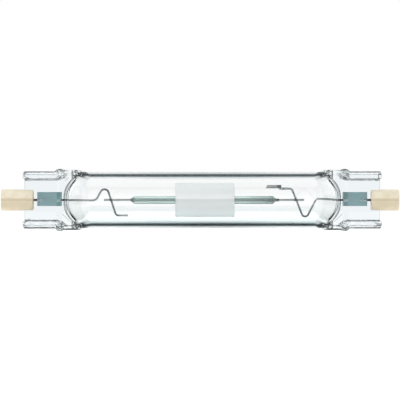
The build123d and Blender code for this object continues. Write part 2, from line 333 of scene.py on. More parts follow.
def drawn_group():
    """Fine lines along the piece and cloudy tarnish, for drawn wire and rolled strip."""
    inputs = {"Bright": COLOUR, "Tarnish": COLOUR, "Line size": NUMBER}
    outputs = {"Colour": COLOUR, "Roughness": NUMBER, "Height": NUMBER}
    group, leave = start_group("drawn_lines", inputs, outputs)
    given = given_to(group)
    where = Spot(group).whole
    drawn_out = made(group, "ShaderNodeMapping", Vector=where, Scale=(0.06, 1.0, 1.0))
    lines = noise(group, drawn_out, given["Line size"], 2.0, 0.6)
    cloud = noise(group, where, 260.0, 4.0, 0.6)
    share = cloud.eased(0.35, 0.65) * 0.6 + lines.eased(0.35, 0.7) * 0.4
    feed(group, mixed(group, share, given["Bright"], given["Tarnish"]), leave.inputs["Colour"])
    feed(group, share.spread(0.0, 1.0, 0.28, 0.5), leave.inputs["Roughness"])
    feed(group, lines, leave.inputs["Height"])
    return group


def crease(reach, rise, start, end, half):
    """A thin straight fold in the pressed web, between two (distance, height) places in millimetres, as a
    mask for the painted shade that darkens it.
    """
    run = (Vector(end) - Vector(start)).length
    way = (Vector(end) - Vector(start)) / run
    ahead = (reach - start[0]) * way[0] + (rise - start[1]) * way[1]
    beside = (reach - start[0]) * way[1] - (rise - start[1]) * way[0]
    fade = min(0.7, run * 0.15)
    return beside.stripe(0.0, half, 0.08) * ahead.between(0.0, fade, run - fade, run)


def jaw_creases(reach, rise, high, left_only):
    """All straight folds: at the knuckles, alike above and below at the corners, and two at the left end, as
    the mask for their painted shade.
    """
    knuckles = (
        ((48.0, -8.8), (49.05, -10.0)), ((49.0, -10.0), (50.4, -9.0)),
        ((48.6, 8.2), (49.9, 7.1)), ((48.3, 10.3), (49.7, 10.5)))
    corners = (((43.0, 9.0), (44.7, 7.2)), ((44.7, 8.9), (43.5, 7.5)))
    at_left = (((46.0, 7.9), (47.4, 6.5), 0.05), ((46.7, 8.2), (47.9, 7.1), 0.04))
    folds = crease(reach, rise, (48.7, -4.5), (45.2, -7.9), 0.05)
    for start, end in knuckles:
        folds = folds + crease(reach, rise, start, end, 0.16) * 2.0
    for start, end in corners:
        folds = folds + crease(reach, high, start, end, 0.14) * 2.0
    for start, end, half in at_left:
        folds = folds + crease(reach, rise, start, end, half) * left_only
    return folds


def jaw_curls(reach, high, swirl):
    """Curled lines where the glass gave way: knuckles, ends of the rails and corners of the shoulder, as a
    mask for painted shade.
    """
    knuckle = reach.between(47.3, 47.9, 50.5, 51.1) * high.eased(7.0, 7.5)
    rail_end = reach.eased(58.6, 60.0) * high.eased(6.3, 6.9)
    corner = reach.between(43.3, 43.8, 45.0, 45.7) * high.eased(7.6, 8.2)
    return (swirl - 0.5).size().falls(0.015, 0.06) * (knuckle + rail_end + corner).at_most(1.0)


def hollow_arcs(reach, high):
    """Bowed lines at the end of the hollow, one behind the other: the mask for painted shade that stands in
    for the dark the glass shows there.
    """
    closing = reach + (high / BOW_HEIGHT).at_most(1.0).work("POWER", BOW_POWER) * BOW_DEPTH
    parted = closing + high.eased(1.5, 6.0, 0.0, 0.45)
    arcs = closing.stripe(47.75, 0.15, 0.1) + parted.stripe(46.92, 0.13, 0.1)
    arcs = arcs + (parted + high.eased(1.5, 6.0, 0.0, 0.1)).stripe(46.25, 0.06, 0.12) * 0.6
    return arcs * high.eased(0.2, 3.0, 0.7, 1.0)


def jaw_marks_shade_group():
    """Masks for painted shade: dark lines on the folds, curls and rails that the closed jaws left in the soft
    quartz, a dark wedge at the swollen corners of the shoulder and dark arcs at the end of the hollow,
    standing in for the dark that these places show through the glass.
    """
    outputs = {"Folds": NUMBER, "Thick corner": NUMBER, "Arcs": NUMBER}
    group, leave = start_group("jaw_marks", {}, outputs)
    spot = Spot(group)
    reach = (spot.x * 1000.0 - BULB_CENTRE).size()
    rise = spot.z * 1000.0
    high = rise.size()
    swirl = noise(group, spot.whole, 400.0, 0.0, 0.4)
    wavy = noise(group, spot.whole, 480.0, 2.0, 0.6)
    # Painted shade: a dark line along each rail and a dark wavy line at its foot.
    rail_line = (high + swirl * 0.5).stripe(9.0, 0.05, 0.14) * reach.eased(50.6, 51.2) * 0.45
    rail_foot = (high + wavy * 0.9).stripe(7.68, 0.14, 0.22) * reach.eased(50.0, 51.0)
    lines = rail_line + rail_foot * wavy.spread(0.34, 0.5, 0.3, 0.9)
    creases = jaw_creases(reach, rise, high, spot.x.for_ends(1.0, 0.0))
    curls = jaw_curls(reach, high, swirl)
    feed(group, (curls * 0.8 + lines + creases * 0.5).at_most(1.0), leave.inputs["Folds"])
    # Painted shade: a dark wedge at each corner of the shoulder, where the tube's dark edge band ends, full
    # on the near side and a quarter as strong behind.
    middle = reach.spread(38.8, 40.7, 8.62, 9.05) + reach.spread(40.7, 43.4, 0.0, 0.3)
    half = reach.spread(38.6, 40.4, 0.34, 0.6) - reach.spread(40.6, 43.5, 0.0, 0.6)
    corner_shade = ((high - middle).size() - half).falls(0.0, 0.2) * reach.between(38.2, 39.8, 43.3, 43.6)
    near_side = spot.y.eased(-0.0005, 0.0005, 1.0, 0.25)
    feed(group, corner_shade * near_side, leave.inputs["Thick corner"])
    feed(group, hollow_arcs(reach, high), leave.inputs["Arcs"])
    return group


FIRED = grain_group()
DRAWN = drawn_group()
JAW_MARKS_SHADE = jaw_marks_shade_group()


def opened(finish):
    """The tree and the main shader of a finish."""
    return finish.node_tree, finish.node_tree.nodes["Principled BSDF"]


def start_finish(name):
    finish = bpy.data.materials.new(name)
    finish.use_nodes = True
    return finish, *opened(finish)


def set_plain(shader, **values):
    for title, value in values.items():
        shader.inputs[title.replace("_", " ")].default_value = value


def bump(tree, shader, height, strength, distance):
    relief = made(tree, "ShaderNodeBump", Height=height, Strength=strength, Distance=distance)
    feed(tree, relief, shader.inputs["Normal"])


def use_group(tree, group, **values):
    node = tree.nodes.new("ShaderNodeGroup")
    node.node_tree = group
    for title, value in values.items():
        feed(tree, value, node.inputs[title.replace("_", " ")])
    return node


def lay_over(tree, shader, share, colour):
    """Lays a share of another colour over the colour that the finish has so far."""
    so_far = Amount(tree, shader.inputs["Base Color"].links[0].from_socket)
    feed(tree, mixed(tree, share, so_far, colour), shader.inputs["Base Color"])


def fired_finish(name, pale, deep, patch, pit, pits, roughness, depth):
    finish, tree, shader = start_finish(name)
    grain = use_group(tree, FIRED, Pale=pale, Deep=deep, Patch_size=patch, Pit_size=pit, Pits=pits)
    feed(tree, out(grain, "Colour"), shader.inputs["Base Color"])
    set_plain(shader, Roughness=roughness)
    bump(tree, shader, out(grain, "Height"), 0.4, depth)
    return finish


def drawn_finish(name, bright, tarnish, line, metallic):
    finish, tree, shader = start_finish(name)
    lines = use_group(tree, DRAWN, Bright=bright, Tarnish=tarnish, Line_size=line)
    feed(tree, out(lines, "Colour"), shader.inputs["Base Color"])
    feed(tree, out(lines, "Roughness"), shader.inputs["Roughness"])
    set_plain(shader, Metallic=metallic)
    bump(tree, shader, out(lines, "Height"), 0.3, 0.00002)
    return finish


def let_light_through(tree, shader, tint):
    """Lamp rays pass the glass straight, so that it doesn't throw a dark shadow."""
    path = tree.nodes.new("ShaderNodeLightPath")
    clear = tree.nodes.new("ShaderNodeBsdfTransparent")
    clear.inputs["Color"].default_value = tint
    choose = tree.nodes.new("ShaderNodeMixShader")
    tree.links.new(path.outputs["Is Shadow Ray"], choose.inputs["Fac"])
    tree.links.new(shader.outputs["BSDF"], choose.inputs[1])
    tree.links.new(clear.outputs["BSDF"], choose.inputs[2])
    tree.links.new(choose.outputs["Shader"], tree.nodes["Material Output"].inputs["Surface"])


def outside_tint(tree, spot, facing, marks):
    """The long way through the wall at its edges shows teal; painted shade darkens the edges further into
    dark bands, most in the middle of the lamp and in the pressed ends, and lays on the dark fold, corner and
    arc lines.
    """
    reach = spot.reach()
    tint = ramp(tree, facing, (0.5, rgb(0.996, 1.0, 1.0)), (0.8, rgb(0.80, 0.88, 0.88)))
    # Painted shade: the edge bands grow darker towards the middle of the lamp.
    mid_lamp_shade = reach.eased(0.012, 0.032, 0.6, 0.0) * facing.eased(0.5, 0.72)
    tint = mixed(tree, mid_lamp_shade, tint, rgb(0.3, 0.37, 0.38))
    # Painted shade: in the pressed ends the quartz grows dark where it is seen edge on.
    pressed = ramp(
        tree, facing, (0.3, rgb(0.86, 0.9, 0.92)), (0.62, rgb(0.30, 0.35, 0.37)), (0.8, rgb(0.16, 0.2, 0.22)))
    tint = mixed(tree, reach.eased(0.0445, 0.047), tint, pressed)
    tint = mixed(tree, out(marks, "Folds"), tint, rgb(0.012, 0.02, 0.025))
    tint = mixed(tree, out(marks, "Thick corner"), tint, rgb(0.04, 0.06, 0.07))
    return mixed(tree, out(marks, "Arcs") * 0.85, tint, rgb(0.02, 0.035, 0.04))


def bore_tint(tree, spot, facing, marks):
    """Clear, with painted shade: a little more grey in the lower half, dark where it is seen edge on and most
    in the middle of the lamp, hazy at the shoulder, with faint dark arcs.
    """
    reach = spot.reach()
    edge_shade = facing + reach.eased(0.012, 0.032, 0.06, 0.0)
    # Painted shade: the lower half of the bore is a little more grey.
    lower = spot.z.spread(-0.0068, -0.0002, 1.0, 0.0)
    clear = mixed(tree, lower, rgb(0.996, 1.0, 1.0), rgb(0.79, 0.86, 0.865))
    tint = mixed(tree, edge_shade.spread(0.5, 0.82), clear, rgb(0.10, 0.16, 0.18))
    shoulder_shade = mixed(tree, 0.5, clear, rgb(0.92, 0.955, 0.96))
    tint = mixed(tree, reach.eased(0.038, 0.041), tint, shoulder_shade)
    return mixed(tree, out(marks, "Arcs") * 0.3, tint, rgb(0.012, 0.022, 0.027))


def quartz_finish(name, tint_of):
    """Clear fused quartz with a trace of film on it, tinted as the way through the wall asks and darkened by
    painted shade at its edges and lines.
    """
    finish, tree, shader = start_finish(name)
    set_plain(shader, IOR=1.458, Transmission_Weight=1.0, Metallic=0.0)
    spot = Spot(tree)
    facing = out(tree.nodes.new("ShaderNodeLayerWeight"), "Facing")
    tint = tint_of(tree, spot, facing, use_group(tree, JAW_MARKS_SHADE))
    film = noise(tree, spot.whole, 90.0, 3.0, 0.6)
    feed(tree, film.spread(0.3, 0.8, 0.0, 0.012), shader.inputs["Roughness"])
    filmed = mixed(tree, film.eased(0.3, 0.7, 0.0, 0.03), tint, rgb(0.7, 0.85, 0.82))
    feed(tree, filmed, shader.inputs["Base Color"])
    bump(tree, shader, noise(tree, spot.whole, 160.0, 2.0, 0.5), 0.02, 0.00001)
    let_light_through(tree, shader, rgb(0.93, 0.96, 0.955))
    return finish


def ceramic_finish():
    """Cream steatite, darker along a wavy line near the middle, and darker over its lower half as painted
    shade.
    """
    finish = fired_finish(
        "cap_ceramic_cream", rgb(0.74, 0.68, 0.54), rgb(0.69, 0.62, 0.475), 420.0, 2600.0, 0.4, 0.62, 0.00005)
    tree, shader = opened(finish)
    spot = Spot(tree)
    wander = noise(tree, spot.whole, 500.0) * 0.0006
    seam = (spot.z + wander - 0.0004).size().eased(0.0001, 0.0008, 0.62, 0.0)
    # Painted shade: the lower half of the cap is darker.
    low = spot.z.eased(-0.0012, 0.0006, 0.5, 0.0)
    lay_over(tree, shader, (seam + low).at_most(1.0), rgb(0.52, 0.42, 0.27))
    return finish


def foil_finish():
    """Rolled foil seen through the glass: teal grey, with a darker band across it and pale weld marks."""
    finish = drawn_finish(
        "sealing_foil_teal", rgb(0.255, 0.455, 0.475), rgb(0.33, 0.46, 0.475), 1500.0, 0.55)
    tree, shader = opened(finish)
    spot = Spot(tree)
    reach = spot.reach()
    wobble = noise(tree, spot.whole, 900.0, 3.0, 0.6)
    near_lead = (spot.z + wobble * 0.0004).size().falls(0.0003, 0.0006)
    welds = reach.falls(0.0502, 0.0506) + reach.eased(0.0546, 0.0552)
    marks = near_lead * welds * noise(tree, spot.whole, 2400.0).eased(0.42, 0.5)
    lay_over(tree, shader, reach.between(0.0489, 0.0491, 0.0500, 0.0503) * 0.55, rgb(0.08, 0.20, 0.20))
    lay_over(tree, shader, marks * 0.8, rgb(0.62, 0.68, 0.68))
    return finish


def alumina_finish(name, pale, deep, transmission, roughness):
    """Sintered alumina: milky, with a very fine grain."""
    finish = fired_finish(name, pale, deep, 300.0, 4200.0, 0.15, roughness, 0.000006)
    set_plain(opened(finish)[1], Transmission_Weight=transmission, IOR=1.3)
    return finish


def barrel_finish():
    """The barrel is nearly white, with painted shade that makes it more grey over its lower half."""
    finish = alumina_finish("alumina_barrel", rgb(0.93, 0.94, 0.94), rgb(0.91, 0.925, 0.925), 0.0, 0.4)
    tree, shader = opened(finish)
    spot = Spot(tree)
    # Painted shade: greyest just below the middle and fading towards the bottom.
    lower_half_shade = spot.z.falls(0.0001, 0.0005) * spot.z.spread(-0.0045, 0.0, 0.1, 0.75)
    lay_over(tree, shader, lower_half_shade, rgb(0.68, 0.705, 0.71))
    return finish


def leg_finish():
    """The legs let light through, and the right one darkens towards its seal."""
    finish = alumina_finish("alumina_leg", rgb(0.69, 0.81, 0.78), rgb(0.61, 0.75, 0.72), 0.75, 0.25)
    tree, shader = opened(finish)
    lay_over(tree, shader, Spot(tree).x.spread(0.0135, 0.0254, 0.0, 0.9), rgb(0.30, 0.40, 0.38))
    let_light_through(tree, shader, rgb(0.55, 0.62, 0.58))
    return finish


def lead_finish():
    """Nickel grey wire, burnt dark where the hot glass closed on it."""
    finish = drawn_finish("lead_wire_grey", rgb(0.46, 0.485, 0.50), rgb(0.29, 0.315, 0.33), 1400.0, 0.75)
    tree, shader = opened(finish)
    spot = Spot(tree)
    reach = spot.reach()
    bent = (spot.x - spot.x.for_ends(-0.0308, 0.0356)).size().falls(0.0016, 0.0042)
    nugget = spot.x.for_ends(WIRE_CROSSINGS["left"] * MM, WIRE_CROSSINGS["right"] * MM)
    crossing = (spot.x - nugget).size().falls(0.0004, 0.0009) * spot.z.size().falls(0.0005, 0.0009)
    on_tab = spot.x.between(0.0272, 0.0273, 0.0302, 0.0305) * 0.8
    tab_spots = noise(tree, spot.whole, 1300.0, 1.0).eased(0.55, 0.62) * on_tab
    flecks = noise(tree, spot.whole, 2600.0).eased(0.45, 0.6)
    in_foil_welds = reach.between(0.0486, 0.0489, 0.0568, 0.0571)
    lay_over(tree, shader, bent * 0.8, rgb(0.11, 0.15, 0.16))
    lay_over(tree, shader, crossing.at_least(tab_spots), rgb(0.05, 0.07, 0.08))
    lay_over(tree, shader, reach.eased(0.0462, 0.0476), rgb(0.05, 0.045, 0.07))
    lay_over(tree, shader, in_foil_welds, mixed(tree, flecks, rgb(0.34, 0.46, 0.47), rgb(0.8, 0.86, 0.86)))
    return finish


def frit_finish():
    """Solder glass of the leg seals, nearly black where it has crept along the lead."""
    finish = drawn_finish("frit_seal_glass", rgb(0.22, 0.27, 0.25), rgb(0.12, 0.16, 0.15), 2000.0, 0.0)
    tree, shader = opened(finish)
    x = Spot(tree).x
    crept = x.eased(0.0259, 0.0264) + x.falls(-0.0236, -0.0228) * 0.5
    lay_over(tree, shader, crept, rgb(0.012, 0.02, 0.02))
    return finish


def getter_finish():
    """Sintered getter layer on its strip, darker towards the weld."""
    finish = drawn_finish("getter_alloy", rgb(0.52, 0.55, 0.54), rgb(0.36, 0.40, 0.39), 2200.0, 0.4)
    tree, shader = opened(finish)
    spot = Spot(tree)
    near_weld = (spot.x + noise(tree, spot.whole, 1500.0) * 0.001).eased(0.0268, 0.0276)
    lower = spot.z.eased(0.0043, 0.0046, 0.5, 0.0)
    lay_over(tree, shader, near_weld.at_least(lower), rgb(0.09, 0.11, 0.11))
    return finish


FINISH = {
    "quartz": quartz_finish("quartz_outside", outside_tint),
    "quartz_bore": quartz_finish("quartz_bore", bore_tint),
    "cap_ceramic": ceramic_finish(),
    "cap_cement": fired_finish(
        "lamp_cement", rgb(0.66, 0.63, 0.55), rgb(0.52, 0.49, 0.42), 800.0, 3000.0, 0.7, 0.85, 0.0001),
    "contact_metal": drawn_finish("contact_disc", rgb(0.62, 0.61, 0.58), rgb(0.42, 0.41, 0.38), 900.0, 0.9),
    "sealing_foil": foil_finish(),
    "lead_wire": lead_finish(),
    "niobium": drawn_finish("niobium_grey", rgb(0.48, 0.52, 0.52), rgb(0.33, 0.36, 0.36), 1400.0, 0.6),
    "tungsten": drawn_finish("tungsten_dark", rgb(0.12, 0.12, 0.13), rgb(0.05, 0.05, 0.06), 1800.0, 0.8),
    "alumina_white": barrel_finish(),
    "alumina_leg": leg_finish(),
    "frit_glass": frit_finish(),
    "getter_metal": getter_finish(),
    "salt": fired_finish(
        "halide_salt", rgb(0.72, 0.66, 0.42), rgb(0.50, 0.42, 0.22), 1500.0, 5200.0, 0.6, 0.4, 0.0002),
}


# The quartz envelope: a tube whose ends a pair of jaws has pressed flat, with a rail along each edge.

def net_places(tree, lengthwise, crosswise):
    """A flat net, and the place of its points along and across it, from -0.5 to 0.5."""
    net = made(tree, "GeometryNodeMeshGrid", Vertices_X=lengthwise, Vertices_Y=crosswise)
    split = add_node(tree, "ShaderNodeSeparateXYZ", Vector=made(tree, "GeometryNodeInputPosition"))
    return net, out(split, "X"), out(split, "Y")


def tube_lattice(tree, lengthwise, round_about, reach, crowd):
    """Places of a fine net: distance from the middle, closing share at the end, and angle.

    Few points lie in the round part, and many lie between the two angles of crowd.
    """
    round_share = 0.08
    closing_share = 0.94
    crowd_start = 0.3
    crowd_end = 0.85
    net, lengthways, about = net_places(tree, lengthwise, round_about)
    way = lengthways * 2.0
    share = way.size()
    distance = share.spread(0.0, round_share, 0.0, ROUND_END)
    distance = distance + share.spread(round_share, closing_share, 0.0, reach - ROUND_END)
    closing = share.spread(closing_share, 1.0)
    turn = (about + 0.5) * 4.0
    quarter = turn.work("PINGPONG", 1.0)
    first, last = crowd
    angle = quarter.spread(0.0, crowd_start, 0.0, first)
    angle = angle + quarter.spread(crowd_start, crowd_end, 0.0, last - first)
    angle = angle + quarter.spread(crowd_end, 1.0, 0.0, pi / 2 - last)
    side = ((turn - 1.0) * (turn - 3.0)).work("SIGN")
    rise = (turn * -1.0 + 2.0).work("SIGN")
    return net, way.work("SIGN"), distance, closing, angle, side, rise


def joined(tree, *shapes):
    """Several shapes as one, in their order."""
    node = tree.nodes.new("GeometryNodeJoinGeometry")
    for shape in shapes:
        feed(tree, shape, node.inputs["Geometry"])
    return out(node, "Geometry")


def rounded_least(value, limit, blend):
    """The lesser of two amounts, with the corner between them rounded."""
    return value.work("SMOOTH_MIN", limit, blend)


def lay_skin(tree, net, x, y, z):
    """Puts the net's points in place and closes its seams."""
    where = made(tree, "ShaderNodeCombineXYZ", X=(x + BULB_CENTRE) * MM, Y=y * MM, Z=z * MM)
    laid = made(tree, "GeometryNodeSetPosition", Geometry=net, Position=where)
    return made(tree, "GeometryNodeMergeByDistance", Geometry=laid, Distance=SEAM)


def end_bow(up, sizes):
    """How far the pressed end draws back from the middle of the web towards its edges."""
    rim = rounded_least(up / BOW_HEIGHT, 1.0, 0.15).at_least(0.0)
    return rim.work("POWER", BOW_POWER) * sizes["Bow"]


def jaw_ripple(tree, x, z):
    """Small waves that the jaws leave in the soft glass, from about -0.5 to 0.5."""
    where = made(tree, "ShaderNodeCombineXYZ", X=x, Z=z * 0.15)
    return noise(tree, where, 0.9, 2.0) - 0.5


def outer_skin(tree, sizes):
    """The outside: round, then pressed to the web, with a rail and a knuckle along each edge."""
    crown_depth = 1.15
    crown_edge = (2.95, 3.3)
    knuckle_top = 10.45
    knuckle_run = (47.6, 48.9, 49.6, 50.9)
    knuckle_bulge = 0.3
    knuckle_rise = 0.35
    rail_middle = 9.22
    rail_run = (39.5, 43.3)
    rail_after_knuckle = (50.2, 51.2)
    foot_run = (46.4, 50.2)
    foot_soft = 0.3
    shoulder_run = (38.6, 47.6)
    web_step_run = (49.7, 50.3)
    web_step = 0.2
    blunt_run = (59.5, 61.2)
    groove_section = (2.95, 3.08, 3.22, 3.4)
    groove_depth = 0.4
    dent_depth = 4.0
    radius = sizes["Bulb radius"]
    net, way, distance, closing, angle, side, rise = tube_lattice(
        tree, 221, 201, sizes["Web end"] - END_ROUND, (0.75, 1.3))
    across = radius * angle.work("COSINE")
    up = radius * angle.work("SINE")
    bow = end_bow(up, sizes) * distance.eased(*BOW_RUN) * distance.falls(47.8, 50.8)
    reach = distance - bow
    ripple = jaw_ripple(tree, reach * way, up * rise)
    wall = distance.eased(*shoulder_run, radius + 1.0, sizes["Web half thickness"] + web_step)
    wall = wall - distance.eased(*web_step_run, 0.0, web_step)
    foot = (reach.eased(*foot_run, 9.1, sizes["Rail inner height"]) + ripple * 0.5).at_most(8.95)
    on_rail = up.eased(foot - foot_soft, foot + foot_soft)
    knuckle = reach.between(*knuckle_run)
    rail_half = sizes["Rail half width"] + knuckle * knuckle_bulge + ripple * 0.3
    spare = (rail_half - wall).at_least(0.0)
    softness = distance.spread(*SOFT_RUN, 0.2, 3.5) - distance.spread(44.5, 48.5, 0.0, 2.9)
    half = rounded_least(across, wall + spare * on_rail, softness)
    dents = jaw_ripple(tree, reach * way * 2.2, up * rise * 9.0 + across * side * 1.5) * knuckle
    tops = (knuckle_top - crown_depth, sizes["Rail top"] - crown_depth)
    flank_top = reach.eased(*rail_after_knuckle, *tops) + knuckle * knuckle_rise
    flank = up + (flank_top - rail_middle) * up.spread(foot + 0.2, rail_middle)
    share = across / rail_half
    crown = flank_top + (share * share).remaining().at_least(0.0).work("SQRT") * crown_depth
    top = across.falls(*crown_edge)
    railed = reach.eased(*rail_run)
    height = up + (flank + (crown - flank) * top - up) * railed
    bend = closing * (pi / 2)
    nose = (up - 8.5) / 1.3
    blunt = (nose * nose * -0.75 + 1.0).at_least(0.1)
    tip = bend.work("SINE") * END_ROUND
    tip = tip + on_rail * distance.eased(*blunt_run) * blunt * sizes["Rail overhang"]
    height = height - bend.work("COSINE").remaining() * top * 0.5
    groove = across.between(*groove_section) * railed * distance.eased(47.0, 50.0)
    half = half + dents * on_rail * dent_depth - groove * groove_depth
    return lay_skin(tree, net, (reach + tip) * way, half * bend.work("COSINE") * side, height * rise)


def inner_skin(tree, sizes):
    """The bore: round, then closing to a flat end inside the web."""
    shoulder_run = (38.2, 46.1)
    end_half = 1.2
    end_closes = 0.6
    radius = sizes["Bore radius"]
    net, way, distance, closing, angle, side, rise = tube_lattice(tree, 241, 161, HOLLOW_END, (0.6, 1.25))
    across = radius * angle.work("COSINE")
    up = radius * angle.work("SINE")
    reach = distance - end_bow(up, sizes) * distance.eased(*BOW_RUN)
    softness = distance.spread(*SOFT_RUN, 0.2, 3.5) - distance.spread(43.5, 46.0, 0.0, 3.0)
    wall = distance.eased(*shoulder_run, radius + 1.0, end_half)
    wall = wall - distance.spread(46.2, HOLLOW_END, 0.0, end_closes)
    half = rounded_least(across, wall, softness)
    bend = closing * (pi / 2)
    tip = bend.work("SINE") * end_closes
    return lay_skin(tree, net, (reach + tip) * way, half * bend.work("COSINE") * side, up * rise)


def envelope_tree():
    sizes = (
        "Bulb radius", "Bore radius", "Web end", "Web half thickness",
        "Rail half width", "Rail inner height", "Rail top", "Rail overhang", "Bow")
    tree, given = start_tree("pressed_bulb", sizes, finishes=("Finish", "Bore finish"))
    bore = tree.nodes.new("GeometryNodeCaptureAttribute")
    bore.domain = "FACE"
    bore.capture_items.new("BOOLEAN", "Is bore")
    feed(tree, inner_skin(tree, given), bore.inputs["Geometry"])
    bore.inputs["Is bore"].default_value = True
    outside = made(tree, "GeometryNodeFlipFaces", Mesh=outer_skin(tree, given))
    both = joined(tree, out(bore, "Geometry"), outside)
    end_tree(tree, both, (given["Finish"], True), (given["Bore finish"], out(bore, "Is bore")))
    return tree


def make_envelope():
    settings = {
        "Bulb radius": BULB_RADIUS,
        "Bore radius": BORE_RADIUS,
        "Web end": WEB_END,
        "Web half thickness": 1.4,
        "Rail half width": 3.0,
        "Rail inner height": 7.1,
        "Rail top": 9.95,
        "Rail overhang": RAIL_OVERHANG,
        "Bow": BOW_DEPTH,
        "Finish": FINISH["quartz"],
        "Bore finish": FINISH["quartz_bore"],
    }
    mesh = as_mesh("quartz_envelope", envelope_tree(), settings)
    place("quartz_envelope", mesh, "quartz", "outer_envelope")


# Wires, swept along a path, and the pieces joined to them.

def sweep(tree, path, given):
    """Round wire along a path, with closed ends."""
    radius = given["Wire diameter"] * 0.5
    ring = made(tree, "GeometryNodeCurvePrimitiveCircle", Resolution=given["Sides"], Radius=radius)
    return made(tree, "GeometryNodeCurveToMesh", Curve=path, Profile_Curve=ring, Fill_Caps=True)


def wire_tree():
    """A wire through corner points, with a rounded bend at each."""
    tree, given = start_tree("bent_wire", ["Wire diameter"], ["Sides", "Steps in a bend"])
    line = made(tree, "GeometryNodeMeshToCurve", Mesh=given["Plan"])
    bend = add_node(tree, "GeometryNodeInputNamedAttribute", Name="bend")
    bend.data_type = "FLOAT"
    route = tree.nodes.new("GeometryNodeFilletCurve")
    route.mode = "POLY"
    feed(tree, line, route.inputs["Curve"])
    feed(tree, given["Steps in a bend"], route.inputs["Count"])
    feed(tree, out(bend, "Attribute"), route.inputs["Radius"])
    end_tree(tree, sweep(tree, out(route, "Curve"), given), (given["Finish"], True))
    return tree


def route_plan(name, corners):
    """A plan line through (x, y, z, bend) in millimetres."""
    plan = bpy.data.meshes.new(name)
    points = [[part * MM for part in corner[:3]] for corner in corners]
    plan.from_pydata(points, [(i, i + 1) for i in range(len(points) - 1)], [])
    bends = plan.attributes.new("bend", "FLOAT", "POINT")
    bends.data.foreach_set("value", [corner[3] * MM for corner in corners])
    return plan


LEFT_LEAD = [
    (-48.6, 0, 0, 0), (-45.7, 0, 0, 6.0), (-36.0, 0, -0.2, 2.0), (-32.65, -0.76, 5.9, 1.5),
    (-29.0, -0.76, -5.3, 1.2), (-24.87, -0.76, -5.3, 0)]
RIGHT_LEAD = [
    (50.1, 0, 0, 0), (47.3, 0, 0, 6.0), (40.3, 0, 0.5, 2.3), (36.15, -0.76, -7.32, 1.2),
    (31.7, -0.76, 3.9, 1.3), (30.0, -0.76, 3.9, 0)]


def wire_mesh(name, tree, corners):
    settings = {
        "Wire diameter": WIRE_DIAMETER * MM,
        "Sides": 20,
        "Steps in a bend": 9,
        "Finish": FINISH["lead_wire"],
    }
    return as_mesh(name, tree, settings, route_plan(name + "_route", corners))


def join_meshes(name, *meshes):
    """One mesh out of several, each with its own finish."""
    whole = bmesh.new()
    finishes = []
    for mesh in meshes:
        first = len(whole.faces)
        whole.from_mesh(mesh)
        whole.faces.ensure_lookup_table()
        finish = mesh.materials[0]
        if finish not in finishes:
            finishes.append(finish)
        for face in whole.faces[first:]:
            face.material_index = finishes.index(finish)
    return finished_mesh(whole, name, *finishes)


def weld_nugget(x):
    """The melted metal where a bent wire crosses the straight lead."""
    work = bmesh.new()
    bmesh.ops.create_icosphere(work, subdivisions=3, radius=0.5 * MM)
    for point in work.verts:
        point.co = Vector((x * MM + point.co.x * 1.15, point.co.y * 0.9 - 0.4 * MM, point.co.z * 0.85))
    smooth_faces(work)
    return finished_mesh(work, "weld_nugget", FINISH["lead_wire"])


def flat_tab():
    """The flattened end of the right wire, to which the getter strip is welded."""
    middle = (28.82, -0.76, 3.9)
    size = (3.09, 0.3, 0.8)
    work = bmesh.new()
    bmesh.ops.create_cube(work, size=1.0)
    for corner in work.verts:
        corner.co = Vector([(at + share * whole) * MM for at, share, whole in zip(middle, corner.co, size)])
    bmesh.ops.bevel(work, geom=work.edges[:], offset=0.09 * MM, segments=3, affect="EDGES", profile=0.5)
    smooth_faces(work)
    return finished_mesh(work, "flat_tab", FINISH["lead_wire"])


def make_bent_wires():
    tree = wire_tree()
    extras = {"left": (), "right": (flat_tab(),)}
    for end, corners in (("left", LEFT_LEAD), ("right", RIGHT_LEAD)):
        name = "support_wire_" + end
        wire = wire_mesh(name, tree, corners)
        mesh = join_meshes(name, wire, *extras[end], weld_nugget(WIRE_CROSSINGS[end]))
        place(name, mesh, "lead_wire", "inner_lead_" + end)


# Turned pieces: the arc tube's barrel and legs.

def join_rings(work, rings):
    """Faces between each ring of points and the next."""
    for before, after in zip(rings, rings[1:]):
        for step in range(len(before)):
            follow = (step + 1) % len(before)
            work.faces.new((before[step], before[follow], after[follow], after[step]))


def turned(name, profile, finish, steps):
    """A piece turned about the lamp's axis from (place, radius) pairs, closed on the axis or on itself."""
    work = bmesh.new()
    rings = []
    for place_along, radius in profile:
        ring = []
        for step in range(steps):
            angle = 2 * pi * step / steps
            point = (place_along * MM, radius * MM * cos(angle), radius * MM * sin(angle))
            ring.append(work.verts.new(point))
        rings.append(ring)
    join_rings(work, rings)
    bmesh.ops.remove_doubles(work, verts=work.verts, dist=0.000001)
    bmesh.ops.dissolve_degenerate(work, edges=work.edges, dist=0.0000001)
    bmesh.ops.recalc_face_normals(work, faces=work.faces)
    smooth_faces(work)
    mesh = finished_mesh(work, name, FINISH[finish])
    mesh.set_sharp_from_angle(angle=0.6)
    return mesh


def rounded(place_along, radius, size, towards=1):
    """Points of a rounded outer edge, from the rim round to the face on the towards side."""
    count = 5
    points = []
    for step in range(count + 1):
        angle = pi / 2 * step / count
        points.append((place_along - towards * size * (1 - sin(angle)), radius - size * (1 - cos(angle))))
    return points


def make_barrel():
    outer = 5.85
    inner = 4.95
    left = -8.5
    right = 11.9
    edge = 0.4
    start = rounded(left, outer, edge, towards=-1)[::-1]
    end = rounded(right, outer, edge)
    profile = [(left, inner)] + start + end + [(right, inner), (left, inner)]
    mesh = turned("arc_tube_body", profile, "alumina_white", 96)
    place("arc_tube_body", mesh, "alumina_white", "arc_tube_barrel")


def make_leg(end):
    outer = 1.4
    bore = 0.5
    bevel = 0.12
    low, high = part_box("capillary_" + end)
    near, far = sorted((low.x / MM, high.x / MM), key=abs)
    profile = [
        (near, bore), (near, outer), (far - bevel * ENDS[end], outer), (far, outer - bevel), (far, bore),
        (near, bore)]
    mesh = turned("arc_tube_leg_" + end, profile, "alumina_leg", 48)
    place("arc_tube_leg_" + end, mesh, "alumina_leg", "capillary_" + end)


# End caps, with a slot for the web.

